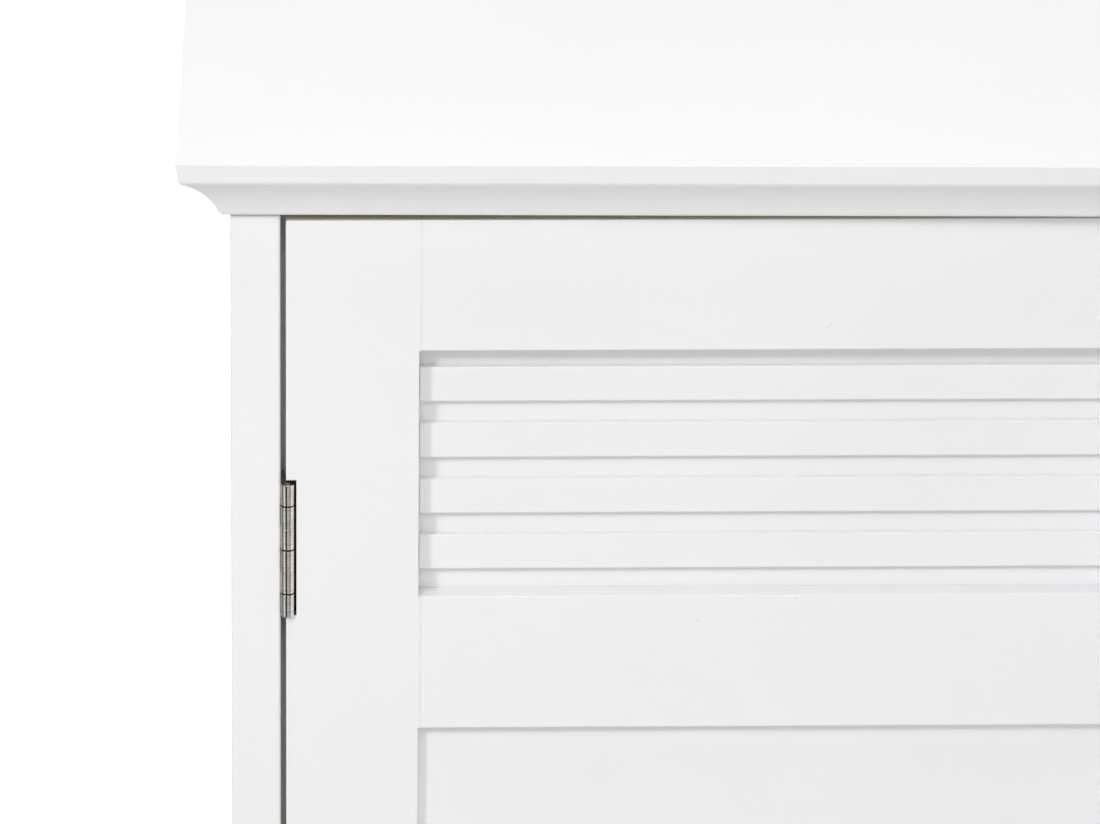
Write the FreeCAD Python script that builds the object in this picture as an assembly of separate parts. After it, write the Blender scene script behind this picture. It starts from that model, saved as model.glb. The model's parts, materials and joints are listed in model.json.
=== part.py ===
import FreeCAD, Part
import math
import os

from FreeCAD import Vector

# Louvred door cabinet, millimetres. X runs to the viewer's right, Y to the back, Z up.
# The model is built with the front edges of the side panels at Y = 0, and moved at
# the end so that the origin is the middle of the footprint, on the floor.

# ---- overall sizes ----
overall_height = 820.0
body_width = 400.0
body_depth = 300.0
floor_level = 92.0               # upper face of the bottom panel
board = 18.0                     # sides, bottom, apron and door frame
edge_ease = 0.8                  # rounding of the outer painted edges
door_edge_ease = 0.5
door_corner_round = 1.2          # rounding of the door's corners, seen from the front
side_inner_ease = 1.2            # inner front edge of the sides, beside the door
arris_ease = 0.4                 # rounding of the small inner edges

# ---- door and its gaps ----
door_gap = 2.0                   # beside and under the door
door_top_gap = 3.15              # under the top board, partly hidden by the crown's foot
latch_set_in = 6.7               # the free side closes this much deeper than the hinge side
stile_width = 49.4
opening_trim = 0.9               # the openings are trimmed this far into the stiles
top_rail_height = 49.7
mid_rail_height = 51.2
bottom_rail_height = 60.0
rail_dowel_inset = 14.0          # dowel centre from the edge of its rail

# ---- louvre band and panel in the door ----
slat_count = 4
slat_height = 13.1
slat_space = 8.45                # open strip above and below each slat
slat_face_depth = 6.8            # front of a slat behind the door face
backing_depth = 10.4             # front of the backing behind the door face
backing_thickness = 5.0
panel_depth = 5.0                # front of the flat panel behind the door face
panel_thickness = 5.0
panel_tongue = 7.0               # how far a panel runs into its grooves
groove_clearance = 0.1
groove_extra = 1.0               # free depth beyond the panel's edge
slat_end_gap = 0.3

# ---- top board with its routed crown ----
crown_height = 23.5              # full thickness of the board
crown_projection = 19.6
fascia_height = 6.7
fascia_lean = 1.2                # the fascia leans in by this much at its foot
shoulder_middle = 17.6           # projection and drop of the rounding under the fascia
shoulder_middle_drop = 7.75
cove_start = 16.3
cove_start_drop = 8.6
cove_middle = 9.6
cove_middle_drop = 13.9
cove_end = 3.9
cove_end_drop = 22.7
bead_top = 3.4                   # short upright land under a fine step at the foot of the cove
bead_top_drop = 22.9
bead_foot = 3.0

# ---- feet and apron ----
glide_height = 4.0
glide_radius = 7.5
glide_nail_radius = 1.0
glide_nail_length = 16.0
glide_nail_head_radius = 2.5
glide_nail_head = 1.0
glide_inset = 22.0               # glide centre from the front or back edge
foot_length = 50.0
foot_cutout_height = 42.0
foot_corner_radius = 18.0
apron_height = 45.0

# ---- back ----
back_thickness = 3.0
back_inset = 8.0                 # back panel from the rear edge of the sides
back_groove_depth = 6.0
back_nail_radius = 0.7
back_nail_length = 18.0
back_nail_head_radius = 1.6
back_nail_head = 0.6
back_nail_count = 6
back_nail_inset = 30.0

# ---- shelves ----
shelf_thickness = 15.0
shelf_depth = 232.0
shelf_front_set_back = 44.0
shelf_end_gap = 0.8
shelf_upper_pin_height = 545.0
shelf_lower_pin_height = 321.0
pin_radius = 2.5
pin_hole_clearance = 0.05
pin_in_side = 9.0
pin_hole_depth = 10.0
pin_collar_radius = 4.5
pin_collar = 1.2
pin_reach = 8.0
pin_seat_gap = 0.1
pin_hole_pitch = 32.0
pin_holes_each_way = 2           # spare holes above and below the one in use
pin_front_inset = 34.0           # pin column from the front or back edge of a shelf

# ---- dowels and cam fittings ----
dowel_radius = 4.0
dowel_length = 30.0
dowel_hole_clearance = 0.05
dowel_end_space = 1.0
dowel_in_board = 11.0            # share of a dowel in the face of a board
dowel_inset = 105.0              # dowel centre from the front or back edge
cam_radius = 7.5
cam_depth = 12.5
cam_clearance = 0.1
cam_centre_distance = 34.0       # cam centre from the end of its board
cam_inset = 62.0                 # cam centre from the front or back edge
cam_bolt_radius = 3.0
cam_bolt_head_radius = 3.4
cam_bolt_head = 3.0
cam_bolt_neck_radius = 1.9
cam_bolt_neck = 4.0
cam_bolt_thread_length = 10.0
cam_slot_width = 1.6
cam_slot_depth = 2.5

# ---- butt hinges ----
hinge_length = 50.8
hinge_from_door_end = 125.8      # middle of the hinge from the top or foot of the door
knuckle_count = 6
knuckle_radius = 2.35
knuckle_open_gap = 0.6           # under each frame knuckle
knuckle_rest_gap = 0.08          # under each door knuckle, which rests on the next one
hinge_pin_radius = 1.1
hinge_pin_clearance = 0.05
leaf_thickness = 1.1
leaf_reach = 16.5                # from the pin's axis to the back edge of a leaf
leaf_start = 2.8                 # flat of the frame leaf begins this far behind the axis
crank_start = 1.2                # the door leaf leaves its knuckles this far behind the axis
crank_side = 0.2                 # near face of its web, across from the axis
crank_back = 6.4                 # and turns to the notch's wall this far behind the axis
axis_from_door_edge = 0.55
axis_before_face = 0.5           # the axis stands this far in front of the door face
notch_depth = 3.8
notch_above = 1.3                # free height above the hinge in its notch
notch_below = 0.1
hinge_screw_radius = 1.25
hinge_screw_length = 14.0
hinge_screw_head_radius = 2.6
hinge_screw_count = 3
hinge_screw_spacing = 17.0
hinge_screw_from_axis = 10.4
screw_hole_clearance = 0.02
screw_slot_width = 0.7
screw_slot_depth = 0.5

# ---- strip behind the hinge side gap ----
strip_width = 14.0
strip_depth = 11.0
strip_behind_door = 0.6          # from the square door's rear face

# ---- knob ----
knob_from_door_top = 300.0
knob_projection = 23.0
knob_head_radius = 14.0
knob_neck_radius = 5.0
knob_base_radius = 8.0
knob_base = 2.0
knob_base_bevel = 0.8
knob_neck_height = 7.0           # where the neck is thinnest
knob_shoulder = 12.6             # height at which the neck opens into the head
knob_shoulder_radius = 6.2
knob_under_head = 13.8
knob_under_head_radius = 12.0
knob_crest = 18.0                # height of the widest place
knob_screw_radius = 2.0
knob_screw_in_knob = 10.0
knob_screw_head_radius = 4.2
knob_screw_head = 2.4
screw_end_space = 1.0            # free depth beyond a screw's point in the knob

# ---- magnetic catch ----
catch_from_door_top = 60.0       # middle of the catch below the top of the door
catch_height = 46.0
catch_width = 14.0
catch_depth = 15.0
catch_gap = 0.3                  # between the poles and the strike plate
magnet_height = 20.0
magnet_width = 5.0
magnet_depth = 9.0
pole_thickness = 1.2
pole_stand_out = 0.8
catch_screw_radius = 1.4
catch_screw_length = 14.0
catch_screw_head_radius = 2.9
catch_screw_head = 1.6
catch_screw_spacing = 32.0
catch_ear_depth = 6.0            # thickness of the catch body under its screw heads
strike_height = 38.0
strike_width = 11.0
strike_thickness = 1.0
strike_edge_inset = 1.0

# ---- wall bracket ----
bracket_width = 40.0
bracket_leg = 25.0
bracket_thickness = 1.5
bracket_wall_hole_radius = 2.75
bracket_wall_hole_drop = 15.0
bracket_screw_spacing = 22.0
bracket_screw_radius = 1.5
bracket_screw_length = 14.0
bracket_screw_head_radius = 3.0
bracket_screw_head = 1.8

# ---- levels and places that follow from the sizes ----
outer_x = body_width / 2
inner_x = outer_x - board
top_board_foot = overall_height - crown_height
door_top = top_board_foot - door_top_gap
door_foot = floor_level + door_gap
bottom_panel_foot = floor_level - board
door_width = 2 * inner_x - 2 * door_gap
door_left = -inner_x + door_gap
opening_edge = stile_width - opening_trim
louvre_height = slat_count * slat_height + (slat_count + 1) * slat_space
louvre_top = door_top - top_rail_height
louvre_foot = louvre_top - louvre_height
panel_top = louvre_foot - mid_rail_height
panel_foot = door_foot + bottom_rail_height
back_front_face = body_depth - back_inset - back_thickness
axis_x = door_left + axis_from_door_edge
axis_y = -axis_before_face
latch_angle = math.degrees(math.asin(latch_set_in / door_width))
hinge_middles = {
    "upper": door_top - hinge_from_door_end,
    "lower": door_foot + hinge_from_door_end,
}
front_to_origin = (body_depth - crown_projection) / 2

left = Vector(-1, 0, 0)
right = Vector(1, 0, 0)
forward = Vector(0, -1, 0)
backward = Vector(0, 1, 0)
up = Vector(0, 0, 1)
down = Vector(0, 0, -1)


# ---- building helpers ----
def block(x, y, z):
    """A box from its low and high limits along each axis."""
    return Part.makeBox(x[1] - x[0], y[1] - y[0], z[1] - z[0], Vector(x[0], y[0], z[0]))


def rod(radius, length, start, direction):
    return Part.makeCylinder(radius, length, start, direction)


def prism(points, run):
    """A solid from a flat outline of points, carried along the vector run."""
    return Part.Face(Part.makePolygon(points + [points[0]])).extrude(run)


def line(a, b):
    return Part.LineSegment(a, b).toShape()


def section(edges):
    return Part.Face(Part.Wire(Part.__sortEdges__(edges)))


def join(pieces):
    whole = pieces[0]
    for piece in pieces[1:]:
        whole = whole.fuse(piece)
    return whole.removeSplitter()


def group(pieces):
    return pieces[0] if len(pieces) == 1 else Part.makeCompound(pieces)


def take_away(shape, cutters):
    return shape.cut(Part.makeCompound(cutters)) if cutters else shape


def straight_edges(shape, wanted):
    """The edges whose middle point passes the test."""
    return [edge for edge in shape.Edges if wanted(edge.CenterOfMass, edge)]


def ease(shape, radius, wanted):
    return shape.makeFillet(radius, straight_edges(shape, wanted))


def near(a, b):
    return abs(a - b) < 1e-6


def screw(start, direction, length, radius, head_radius, head_height, countersunk):
    """A wood screw whose head begins at start and whose point lies along direction."""
    shank = rod(radius, length, start, direction)
    if countersunk:
        head = Part.makeCone(head_radius, radius, head_radius - radius, start, direction)
    else:
        head = rod(head_radius, head_height, start - direction * head_height, direction)
    side = direction.cross(up) if abs(direction.z) < 0.5 else Vector(1, 0, 0)
    other = direction.cross(side)
    face = start if countersunk else start - direction * head_height
    cuts = []
    for along, across in ((side, other), (other, side)):
        half = along * head_radius * 0.6
        step = across * (screw_slot_width / 2)
        outline = [face - half - step, face + half - step, face + half + step, face - half + step]
        cuts.append(prism(outline, direction * screw_slot_depth))
    return take_away(join([shank, head]), cuts)


def screw_hole(start, direction, length, radius, head_radius, countersunk):
    """The hole that a screw of the same sizes fills, with its running clearance."""
    hole = rod(radius + screw_hole_clearance, length + screw_hole_clearance, start, direction)
    if not countersunk:
        return [hole]
    wide = head_radius + screw_hole_clearance
    sink = Part.makeCone(wide, radius, wide - radius, start, direction)
    return [hole, sink]


def pair(inset):
    """Two places along the depth of the body, the same distance from front and back."""
    return (inset, body_depth - inset)


# ---- dowels and cam fittings between boards ----
def dowel(face_point, into_end):
    """A dowel across a joint: face_point on the board's face, into_end into the other's end."""
    start = face_point - into_end * dowel_in_board
    return rod(dowel_radius, dowel_length, start, into_end)


def dowel_hole(face_point, into_end):
    start = face_point - into_end * (dowel_in_board + dowel_end_space)
    length = dowel_length + 2 * dowel_end_space
    return rod(dowel_radius + dowel_hole_clearance, length, start, into_end)


def cam_bolt(face_point, into_end):
    """Threaded into a board's face, with its head at the middle of the cam."""
    thread = rod(cam_bolt_radius, cam_bolt_thread_length, face_point, into_end * -1)
    head_start = cam_centre_distance - cam_bolt_head / 2
    shaft_length = head_start - cam_bolt_neck
    shaft = rod(cam_bolt_radius, shaft_length, face_point, into_end)
    neck = rod(cam_bolt_neck_radius, cam_bolt_neck, face_point + into_end * shaft_length, into_end)
    head = rod(cam_bolt_head_radius, cam_bolt_head, face_point + into_end * head_start, into_end)
    return join([thread, shaft, neck, head])


def cam_bolt_hole(face_point, into_end):
    """The thread's hole in the face and the wide hole along the other board to its cam."""
    thread = rod(cam_bolt_radius + screw_hole_clearance,
                 cam_bolt_thread_length + dowel_end_space, face_point, into_end * -1)
    way = rod(cam_bolt_head_radius + cam_clearance, cam_centre_distance, face_point, into_end)
    return [thread, way]


def cam_lock(centre_on_face, into_board, toward_bolt):
    """A cam seen from the face it is turned from, open towards its bolt."""
    body = rod(cam_radius, cam_depth, centre_on_face, into_board)
    middle = centre_on_face + into_board * (board / 2)
    bore = rod(cam_bolt_head_radius + cam_clearance, cam_radius + cam_bolt_head,
               middle - toward_bolt * cam_bolt_head, toward_bolt)
    side = into_board.cross(toward_bolt)
    cuts = [bore]
    for along, across in ((toward_bolt, side), (side, toward_bolt)):
        half = along * (cam_radius * 0.7)
        step = across * (cam_slot_width / 2)
        outline = [centre_on_face - half - step, centre_on_face + half - step,
                   centre_on_face + half + step, centre_on_face - half + step]
        cuts.append(prism(outline, into_board * cam_slot_depth))
    return take_away(body, cuts)


def cam_pocket(centre_on_face, into_board):
    return rod(cam_radius + cam_clearance, cam_depth + cam_clearance, centre_on_face, into_board)


def top_joints(side):
    """Points on the underside of the top board over the middle of one side panel."""
    x = side * (outer_x - board / 2)
    bolts = [Vector(x, y, top_board_foot) for y in pair(cam_inset)]
    dowels = [Vector(x, y, top_board_foot) for y in pair(dowel_inset)]
    return bolts, dowels


def bottom_joints(side):
    """Points on a side panel's inner face, level with the middle of the bottom panel."""
    z = bottom_panel_foot + board / 2
    bolts = [Vector(side * inner_x, y, z) for y in pair(cam_inset)]
    dowels = [Vector(side * inner_x, y, z) for y in pair(dowel_inset)]
    return bolts, dowels


def apron_joints(side):
    """Two dowel points on a side panel's inner face, one above the other."""
    middle = floor_level - apron_height / 2
    spread = apron_height / 4
    return [Vector(side * inner_x, board / 2, middle + step) for step in (-spread, spread)]


def top_cam_places(side):
    """Cam centres on a side panel's inner face, below the top board."""
    z = top_board_foot - cam_centre_distance
    return [Vector(side * inner_x, y, z) for y in pair(cam_inset)]


def bottom_cam_places(side):
    """Cam centres on the underside of the bottom panel."""
    x = side * (inner_x - cam_centre_distance)
    return [Vector(x, y, bottom_panel_foot) for y in pair(cam_inset)]


# ---- shelf pins ----
def pin_columns():
    front = shelf_front_set_back + pin_front_inset
    back = shelf_front_set_back + shelf_depth - pin_front_inset
    return (front, back)


def pin_places(side, height):
    return [Vector(side * inner_x, y, height) for y in pin_columns()]


def pin_hole_places(side):
    steps = range(-pin_holes_each_way, pin_holes_each_way + 1)
    places = []
    for height in (shelf_lower_pin_height, shelf_upper_pin_height):
        for step in steps:
            places += pin_places(side, height + step * pin_hole_pitch)
    return places


# ---- catch places ----
def door_depth_at(across, behind_face):
    """Y of a point of the closed door, across from its hinge edge and behind its face."""
    angle = math.radians(latch_angle)
    swing = (across - axis_from_door_edge) * math.sin(angle)
    return axis_y + swing + (behind_face + axis_before_face) * math.cos(angle)


catch_middle = door_top - catch_from_door_top
catch_front = door_depth_at(door_width, board + strike_thickness) + catch_gap + pole_stand_out


def catch_screw_points():
    """Screw seats on the catch body's ears, facing the right side panel."""
    x = inner_x - catch_ear_depth
    y = catch_front + catch_depth / 2
    return [Vector(x, y, catch_middle + step * catch_screw_spacing / 2) for step in (-1, 1)]


# ---- hinge places ----
def hinge_screw_heights(middle):
    half = (hinge_screw_count - 1) / 2
    return [middle + (i - half) * hinge_screw_spacing for i in range(hinge_screw_count)]


def frame_leaf_screw_points(middle):
    x = -inner_x + leaf_thickness
    y = axis_y + hinge_screw_from_axis
    return [Vector(x, y, z) for z in hinge_screw_heights(middle)]


def door_leaf_screw_points(middle):
    x = door_left + notch_depth - leaf_thickness
    y = axis_y + hinge_screw_from_axis
    return [Vector(x, y, z) for z in hinge_screw_heights(middle)]


# ---- carcass boards ----
def side_panel(side):
    low, high = sorted((side * inner_x, side * outer_x))
    panel = block((low, high), (0, body_depth), (glide_height, top_board_foot))
    middle = (glide_height + top_board_foot) / 2
    for x, radius in ((side * outer_x, edge_ease), (side * inner_x, side_inner_ease)):
        panel = ease(panel, radius, lambda p, e: near(p.y, 0) and near(p.z, middle) and near(p.x, x))
    cut_top = glide_height + foot_cutout_height
    cutout = block((low - 1, high + 1), (foot_length, body_depth - foot_length), (glide_height - 1, cut_top))
    cutout = ease(cutout, foot_corner_radius, lambda p, e: near(p.z, cut_top) and near(p.x, (low + high) / 2))
    cutters = [cutout]
    groove_x = sorted((side * inner_x, side * (inner_x + back_groove_depth)))
    groove_y = (back_front_face - groove_clearance, back_front_face + back_thickness + groove_clearance)
    cutters.append(block(groove_x, groove_y, (bottom_panel_foot, top_board_foot)))
    inward = left if side > 0 else right
    bolts, dowels = top_joints(side)
    for point in bolts:
        cutters += cam_bolt_hole(point, down)
    for point in dowels:
        cutters.append(dowel_hole(point, down))
    for point in top_cam_places(side):
        cutters.append(cam_pocket(point, inward * -1))
    bolts, dowels = bottom_joints(side)
    for point in bolts:
        cutters += cam_bolt_hole(point, inward)
    for point in dowels + apron_joints(side):
        cutters.append(dowel_hole(point, inward))
    for point in pin_hole_places(side):
        cutters.append(rod(pin_radius + pin_hole_clearance, pin_hole_depth, point, inward * -1))
    for y in pair(glide_inset):
        cutters.append(rod(glide_nail_radius + screw_hole_clearance, glide_nail_length,
                           Vector(side * (outer_x - board / 2), y, glide_height), up))
    if side > 0:
        for point in catch_screw_points():
            cutters += screw_hole(point, right, catch_screw_length, catch_screw_radius, 0, False)
    else:
        for middle in hinge_middles.values():
            for point in frame_leaf_screw_points(middle):
                cutters += screw_hole(point, left, hinge_screw_length, hinge_screw_radius,
                                      hinge_screw_head_radius, True)
    return take_away(panel, cutters)


def crown_edges(place):
    """The routed edge from the top face to the underside; place(projection, drop) gives a point."""
    lip = place(crown_projection, 0)
    fascia_foot = place(crown_projection - fascia_lean, fascia_height)
    shoulder = place(shoulder_middle, shoulder_middle_drop)
    cove_top = place(cove_start, cove_start_drop)
    cove_mid = place(cove_middle, cove_middle_drop)
    cove_foot = place(cove_end, cove_end_drop)
    bead_start = place(bead_top, bead_top_drop)
    bead_end = place(bead_foot, crown_height)
    foot = place(0, crown_height)
    return [
        Part.LineSegment(lip, fascia_foot).toShape(),
        Part.Arc(fascia_foot, shoulder, cove_top).toShape(),
        Part.Arc(cove_top, cove_mid, cove_foot).toShape(),
        line(cove_foot, bead_start),
        line(bead_start, bead_end),
        line(bead_end, foot),
    ]


def routed_blank():
    """The board with its profile along the front and both ends, which meet in mitred corners."""
    lip = outer_x + crown_projection
    high, low = overall_height, top_board_foot

    def at_left(out, drop):
        return Vector(-outer_x - out, -crown_projection, high - drop)

    def at_right(out, drop):
        return Vector(outer_x + out, -crown_projection, high - drop)

    def at_front(out, drop):
        return Vector(-lip, -out, high - drop)

    top_left = Vector(-lip, -crown_projection, high)
    top_right = Vector(lip, -crown_projection, high)
    foot_left = Vector(-outer_x, -crown_projection, low)
    foot_right = Vector(outer_x, -crown_projection, low)
    across = crown_edges(at_left) + crown_edges(at_right)
    across += [line(top_left, top_right), line(foot_left, foot_right)]
    wide = section(across).extrude(Vector(0, body_depth + crown_projection, 0))
    top_back = Vector(-lip, body_depth, high)
    foot_back = Vector(-lip, body_depth, low)
    along = crown_edges(at_front)
    along += [line(top_left, top_back), line(top_back, foot_back), line(foot_back, Vector(-lip, 0, low))]
    deep = section(along).extrude(Vector(2 * lip, 0, 0))
    return wide.common(deep).removeSplitter()


def top_board():
    half = inner_x + back_groove_depth
    groove_y = (back_front_face - groove_clearance, back_front_face + back_thickness + groove_clearance)
    cutters = [block((-half, half), groove_y, (top_board_foot, top_board_foot + back_groove_depth))]
    for side in (-1, 1):
        bolts, dowels = top_joints(side)
        for point in bolts:
            cutters += cam_bolt_hole(point, down)
        for point in dowels:
            cutters.append(dowel_hole(point, down))
    for point in bracket_screw_points():
        cutters += screw_hole(point, up, bracket_screw_length, bracket_screw_radius, 0, False)
    return take_away(routed_blank(), cutters)


def bottom_panel():
    panel = block((-inner_x, inner_x), (board, back_front_face), (bottom_panel_foot, floor_level))
    cutters = []
    for side, outward in ((-1, left), (1, right)):
        bolts, dowels = bottom_joints(side)
        for point in bolts:
            cutters += cam_bolt_hole(point, outward * -1)
        for point in dowels:
            cutters.append(dowel_hole(point, outward * -1))
        for point in bottom_cam_places(side):
            cutters.append(cam_pocket(point, up))
    for point in back_nail_points():
        cutters.append(rod(back_nail_radius + screw_hole_clearance, back_nail_length, point, forward))
    return take_away(panel, cutters)


def front_apron():
    foot = floor_level - apron_height
    panel = block((-inner_x, inner_x), (0, board), (foot, floor_level))
    panel = ease(panel, edge_ease, lambda p, e: near(p.y, 0) and near(p.x, 0))
    cutters = []
    for side, outward in ((-1, left), (1, right)):
        for point in apron_joints(side):
            cutters.append(dowel_hole(point, outward * -1))
    return take_away(panel, cutters)


def gap_strip():
    """Glued to the left side panel behind the door's hinge edge, to keep light and dust out."""
    front = board + strip_behind_door
    return block((-inner_x, -inner_x + strip_width), (front, front + strip_depth), (floor_level, top_board_foot))


def back_nail_points():
    """Nail heads seat on the back panel's rear face, level with the bottom panel."""
    span = 2 * (inner_x - back_nail_inset)
    z = bottom_panel_foot + board / 2
    y = back_front_face + back_thickness
    return [Vector(-span / 2 + i * span / (back_nail_count - 1), y, z) for i in range(back_nail_count)]


def back_panel():
    half = inner_x + back_groove_depth - groove_extra / 2
    top = top_board_foot + back_groove_depth - groove_extra / 2
    panel = block((-half, half), (back_front_face, back_front_face + back_thickness), (bottom_panel_foot, top))
    cutters = [rod(back_nail_radius + screw_hole_clearance, back_nail_length, point, forward)
               for point in back_nail_points()]
    cutters.append(rod(bracket_wall_hole_radius, back_thickness, bracket_hole_centre(), backward))
    return take_away(panel, cutters)


def back_panel_nails():
    nails = []
    for point in back_nail_points():
        shank = rod(back_nail_radius, back_nail_length, point, forward)
        head = rod(back_nail_head_radius, back_nail_head, point, backward)
        nails.append(join([shank, head]))
    return group(nails)


# ---- shelves ----
def shelf(pin_height):
    foot = pin_height + pin_radius + pin_seat_gap
    half = inner_x - shelf_end_gap
    back = shelf_front_set_back + shelf_depth
    panel = block((-half, half), (shelf_front_set_back, back), (foot, foot + shelf_thickness))
    return ease(panel, edge_ease, lambda p, e: near(p.y, shelf_front_set_back) and near(p.x, 0))


def shelf_pins():
    pins = []
    for height in (shelf_lower_pin_height, shelf_upper_pin_height):
        for side, inward in ((-1, right), (1, left)):
            for point in pin_places(side, height):
                shank = rod(pin_radius, pin_in_side + pin_reach, point - inward * pin_in_side, inward)
                collar = rod(pin_collar_radius, pin_collar, point, inward)
                collar = collar.cut(block((-outer_x, outer_x), (0, body_depth),
                                          (height + pin_radius, height + 2 * pin_collar_radius)))
                pins.append(join([shank, collar]))
    return group(pins)


# ---- joints that hold the boards ----
def all_cam_bolts(joints, into_end):
    bolts = []
    for side in (-1, 1):
        for point in joints(side)[0]:
            bolts.append(cam_bolt(point, into_end(side)))
    return group(bolts)


def all_dowels(points, into_end):
    return group([dowel(point, into_end(side)) for side in (-1, 1) for point in points(side)])


def top_cam_locks():
    cams = []
    for side, outward in ((-1, left), (1, right)):
        cams += [cam_lock(point, outward, up) for point in top_cam_places(side)]
    return group(cams)


def bottom_cam_locks():
    cams = []
    for side, outward in ((-1, left), (1, right)):
        cams += [cam_lock(point, up, outward) for point in bottom_cam_places(side)]
    return group(cams)


# ---- feet ----
def glide_places():
    x = outer_x - board / 2
    return [Vector(side * x, y, 0) for side in (-1, 1) for y in pair(glide_inset)]


def floor_glides():
    glides = []
    for point in glide_places():
        disc = rod(glide_radius, glide_height, point, up)
        disc = ease(disc, edge_ease, lambda p, e: near(p.z, 0) and e.Length > glide_radius)
        well = rod(glide_nail_head_radius + cam_clearance, glide_height / 2, point, up)
        hole = rod(glide_nail_radius + screw_hole_clearance, glide_height, point, up)
        glides.append(take_away(disc, [well, hole]))
    return group(glides)


def glide_nails():
    nails = []
    for point in glide_places():
        seat = point + up * (glide_height / 2)
        shank = rod(glide_nail_radius, glide_nail_length, seat, up)
        head = rod(glide_nail_head_radius, glide_nail_head, seat, down)
        nails.append(join([shank, head]))
    return group(nails)


# ---- wall bracket ----
def bracket_hole_centre():
    return Vector(0, back_front_face, top_board_foot - bracket_wall_hole_drop)


def bracket_screw_points():
    y = back_front_face - bracket_leg / 2
    z = top_board_foot - bracket_thickness
    return [Vector(step * bracket_screw_spacing / 2, y, z) for step in (-1, 1)]


def wall_bracket():
    half = bracket_width / 2
    back = back_front_face
    top = top_board_foot
    flat_leg = block((-half, half), (back - bracket_leg, back), (top - bracket_thickness, top))
    tall_leg = block((-half, half), (back - bracket_thickness, back), (top - bracket_leg, top))
    cutters = [rod(bracket_wall_hole_radius, bracket_thickness, bracket_hole_centre(), forward)]
    for point in bracket_screw_points():
        cutters += screw_hole(point, up, bracket_screw_length, bracket_screw_radius, 0, False)
    return take_away(join([flat_leg, tall_leg]), cutters)


def wall_bracket_screws():
    return group([screw(point, up, bracket_screw_length, bracket_screw_radius,
                        bracket_screw_head_radius, bracket_screw_head, False)
                  for point in bracket_screw_points()])


# ---- magnetic catch ----
def catch_body():
    middle = catch_middle
    front = catch_front
    x = (inner_x - catch_width, inner_x)
    body = block(x, (front, front + catch_depth), (middle - catch_height / 2, middle + catch_height / 2))
    half_nose = magnet_height / 2 + 2 * pole_thickness
    ears = []
    for low, high in ((half_nose, catch_height), (-catch_height, -half_nose)):
        ears.append(block((x[0] - 1, inner_x - catch_ear_depth), (front - 1, front + catch_depth + 1),
                          (middle + low, middle + high)))
    body = take_away(body, ears)
    pocket_half = magnet_width / 2 + pole_thickness + cam_clearance
    pocket_x = inner_x - catch_width / 2
    pocket = block((pocket_x - pocket_half, pocket_x + pocket_half), (front, front + magnet_depth),
                   (middle - magnet_height / 2 - cam_clearance, middle + magnet_height / 2 + cam_clearance))
    holes = []
    for point in catch_screw_points():
        holes += screw_hole(point, right, catch_screw_length, catch_screw_radius, 0, False)
    return take_away(body, [pocket] + holes)


def catch_magnet():
    x = inner_x - catch_width / 2
    half = magnet_width / 2
    return block((x - half, x + half), (catch_front, catch_front + magnet_depth),
                 (catch_middle - magnet_height / 2, catch_middle + magnet_height / 2))


def catch_pole_plates():
    middle_x = inner_x - catch_width / 2
    plates = []
    for side in (-1, 1):
        inner = middle_x + side * magnet_width / 2
        x = sorted((inner, inner + side * pole_thickness))
        plates.append(block(x, (catch_front - pole_stand_out, catch_front + magnet_depth),
                            (catch_middle - magnet_height / 2, catch_middle + magnet_height / 2)))
    return group(plates)


def catch_screws():
    return group([screw(point, right, catch_screw_length, catch_screw_radius,
                        catch_screw_head_radius, catch_screw_head, False)
                  for point in catch_screw_points()])


# ---- door frame, built square and flush, then closed to its latch angle ----
def close_door(shape):
    closed = shape.copy()
    closed.rotate(Vector(axis_x, axis_y, 0), up, latch_angle)
    return closed


def door_block(across, behind, heights):
    """A box of the door: across from the hinge edge, behind the face, and its heights."""
    return block((door_left + across[0], door_left + across[1]), behind, heights)


def backing_groove():
    return (backing_depth - groove_clearance, backing_depth + backing_thickness + groove_clearance)


def panel_groove():
    return (panel_depth - groove_clearance, panel_depth + panel_thickness + groove_clearance)


def rail_dowel_points(side):
    """Dowel points on the stiles' inner edges, two at each end of each rail."""
    x = door_left + (stile_width if side < 0 else door_width - stile_width)
    points = []
    for foot, height in (
        (louvre_top, top_rail_height),
        (panel_top, mid_rail_height),
        (door_foot, bottom_rail_height),
    ):
        heights = (foot + rail_dowel_inset, foot + height - rail_dowel_inset)
        points += [Vector(x, board / 2, z) for z in heights]
    return points


def trimmed_edge(side, inner, heights):
    """What the trimming of an opening takes off a stile, with the small rounding of its front edge."""
    x = door_left + inner
    mouth = Vector(x + side * arris_ease, 0, heights[0])
    slope = Vector(x + side * arris_ease * (1 - math.sin(math.pi / 4)),
                   arris_ease * (1 - math.sin(math.pi / 4)), heights[0])
    throat = Vector(x, arris_ease, heights[0])
    far_x = x - side * opening_trim
    outline = section([
        Part.Arc(mouth, slope, throat).toShape(),
        line(throat, Vector(x, board, heights[0])),
        line(Vector(x, board, heights[0]), Vector(far_x, board, heights[0])),
        line(Vector(far_x, board, heights[0]), Vector(far_x, 0, heights[0])),
        line(Vector(far_x, 0, heights[0]), mouth),
    ])
    return outline.extrude(Vector(0, 0, heights[1] - heights[0]))


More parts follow.
